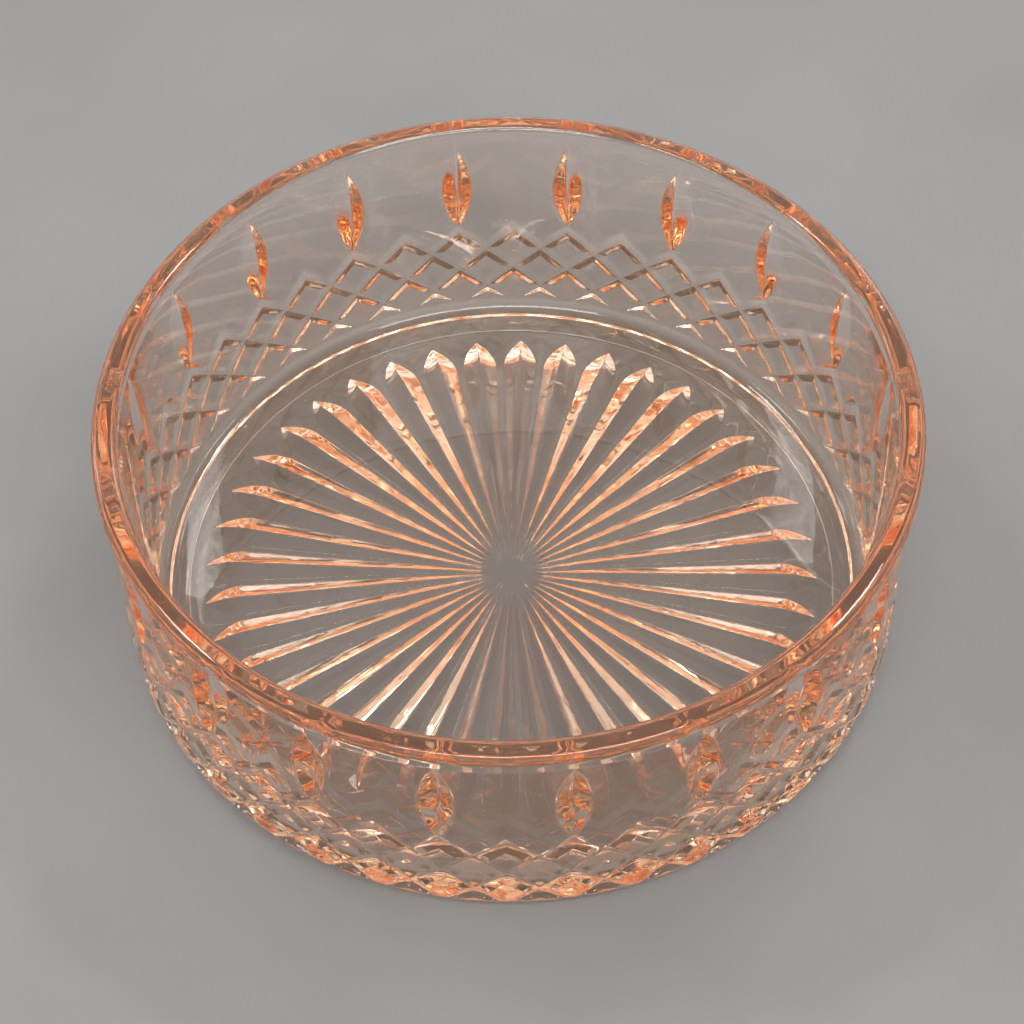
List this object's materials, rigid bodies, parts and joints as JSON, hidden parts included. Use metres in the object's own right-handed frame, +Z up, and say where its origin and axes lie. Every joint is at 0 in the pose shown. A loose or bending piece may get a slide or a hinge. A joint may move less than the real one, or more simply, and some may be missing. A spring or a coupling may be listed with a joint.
{
  "type": "candy dish",
  "caption": "Round shallow pressed glass bowl with almond flutes and a diamond lattice on the wall and a ray star under the floor; holds sweets or small things.",
  "frame": {"origin": "centre of the resting face under the foot", "axes": "+Z up along the bowl's axis of symmetry, out of its mouth; +X through the middle of one wall flute"},
  "size_m": [0.15, 0.15, 0.0532],
  "materials": {
    "pink_glass": "polished"
  },
  "bodies": {
    "root": {"bowl": "pink_glass"}
  },
  "joints": []
}
